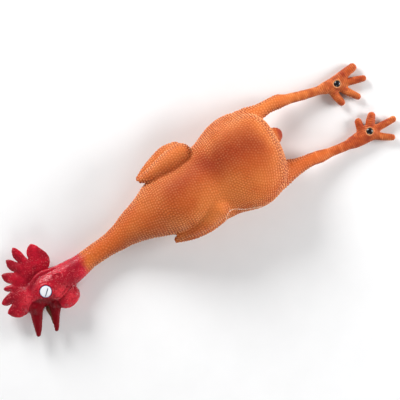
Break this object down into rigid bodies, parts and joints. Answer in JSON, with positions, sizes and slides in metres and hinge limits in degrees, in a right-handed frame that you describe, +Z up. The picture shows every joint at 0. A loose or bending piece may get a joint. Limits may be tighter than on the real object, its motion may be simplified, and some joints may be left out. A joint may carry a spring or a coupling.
{
  "type": "rubber chicken",
  "caption": "Hollow latex rubber chicken lying on its back, plucked pebbled skin, red comb and beaked head turned to one side, domed rivet in each foot; neck and legs flex.",
  "frame": {"origin": "on the small flat patch of the bird's back that it rests on, below the middle of the trunk", "axes": "+X from the head towards the feet, +Y the bird's left, +Z up through the belly"},
  "size_m": [0.5486, 0.1488, 0.0763],
  "materials": {
    "latex_orange": "satin pebbled latex with darker paint rubbed into the hollows",
    "latex_foot": "satin latex, ringed wrinkles",
    "latex_red": "glossy crimson paint over latex",
    "latex_beak": "glossy dark red paint over latex",
    "latex_mouth": "dull bare latex",
    "eye_disc": "glossy white with a black slit and a thin dark rim",
    "rivet_black": "glossy black enamel",
    "washer_steel": "dull plated steel"
  },
  "bodies": {
    "trunk": {"trunk_skin": "latex_orange", "left_wing": "latex_orange", "right_wing": "latex_orange", "tail_nub": "latex_orange", "left_thigh_root": "latex_orange", "right_thigh_root": "latex_orange", "shoulder_flexure": "latex_orange", "left_hip_flexure": "latex_orange", "right_hip_flexure": "latex_orange"},
    "neck_lower": {"neck_lower_skin": "latex_orange", "neck_flexure": "latex_orange"},
    "neck_upper": {"neck_upper_skin": "latex_orange", "head_flexure": "latex_orange"},
    "head": {"head_skin": "latex_red", "comb": "latex_red", "upper_beak": "latex_beak", "lower_beak": "latex_beak", "mouth_lining": "latex_mouth", "left_wattle": "latex_red", "right_wattle": "latex_red", "left_eye": "eye_disc", "right_eye": "eye_disc"},
    "left_thigh": {"left_thigh_skin": "latex_orange", "left_hock_flexure": "latex_orange"},
    "left_shank": {"left_shank_skin": "latex_orange", "left_ankle_flexure": "latex_orange"},
    "left_foot": {"left_palm": "latex_foot", "left_hind_toe": "latex_foot", "left_inner_toe": "latex_foot", "left_middle_toe": "latex_foot", "left_outer_toe": "latex_foot", "left_rivet": "rivet_black", "left_rivet_washer": "washer_steel"},
    "right_thigh": {"right_thigh_skin": "latex_orange", "right_hock_flexure": "latex_orange"},
    "right_shank": {"right_shank_skin": "latex_orange", "right_ankle_flexure": "latex_orange"},
    "right_foot": {"right_palm": "latex_foot", "right_hind_toe": "latex_foot", "right_inner_toe": "latex_foot", "right_middle_toe": "latex_foot", "right_outer_toe": "latex_foot", "right_rivet": "rivet_black", "right_rivet_washer": "washer_steel"}
  },
  "joints": [
    {"name": "shoulder_sway", "type": "hinge", "parent": "trunk", "child": "neck_lower", "pos_m": [-0.116, -0.0095, 0.023], "axis": [0, 0, 1], "range_deg": [-25, 25], "stiffness_Nm_per_rad": 0.6, "deforming": ["shoulder_flexure"]},
    {"name": "neck_lift", "type": "hinge", "parent": "neck_lower", "child": "neck_upper", "pos_m": [-0.162, -0.0188, 0.0133], "axis": [0, 1, 0], "range_deg": [0, 40], "stiffness_Nm_per_rad": 0.25, "deforming": ["neck_flexure"]},
    {"name": "head_nod", "type": "hinge", "parent": "neck_upper", "child": "head", "pos_m": [-0.212, -0.0265, 0.0173], "axis": [0, 0, 1], "range_deg": [-25, 25], "stiffness_Nm_per_rad": 0.25, "deforming": ["head_flexure"]},
    {"name": "left_hip_spread", "type": "hinge", "parent": "trunk", "child": "left_thigh", "pos_m": [0.0885, 0.0448, 0.027], "axis": [0, 0, 1], "range_deg": [-3, 22], "stiffness_Nm_per_rad": 0.4, "deforming": ["left_hip_flexure"]},
    {"name": "left_hock_bend", "type": "hinge", "parent": "left_thigh", "child": "left_shank", "pos_m": [0.114, 0.0453, 0.0195], "axis": [0, -1, 0], "range_deg": [0, 50], "stiffness_Nm_per_rad": 0.15, "deforming": ["left_hock_flexure"]},
    {"name": "left_ankle_bend", "type": "hinge", "parent": "left_shank", "child": "left_foot", "pos_m": [0.1645, 0.0347, 0.0089], "axis": [0, -1, 0], "range_deg": [0, 40], "stiffness_Nm_per_rad": 0.08, "deforming": ["left_ankle_flexure"]},
    {"name": "right_hip_spread", "type": "hinge", "parent": "trunk", "child": "right_thigh", "pos_m": [0.0885, -0.0376, 0.027], "axis": [0, 0, 1], "range_deg": [-22, 3], "stiffness_Nm_per_rad": 0.4, "deforming": ["right_hip_flexure"]},
    {"name": "right_hock_bend", "type": "hinge", "parent": "right_thigh", "child": "right_shank", "pos_m": [0.114, -0.0382, 0.0192], "axis": [0, -1, 0], "range_deg": [0, 50], "stiffness_Nm_per_rad": 0.15, "deforming": ["right_hock_flexure"]},
    {"name": "right_ankle_bend", "type": "hinge", "parent": "right_shank", "child": "right_foot", "pos_m": [0.1645, -0.0428, 0.0087], "axis": [0, -1, 0], "range_deg": [0, 40], "stiffness_Nm_per_rad": 0.08, "deforming": ["right_ankle_flexure"]}
  ]
}
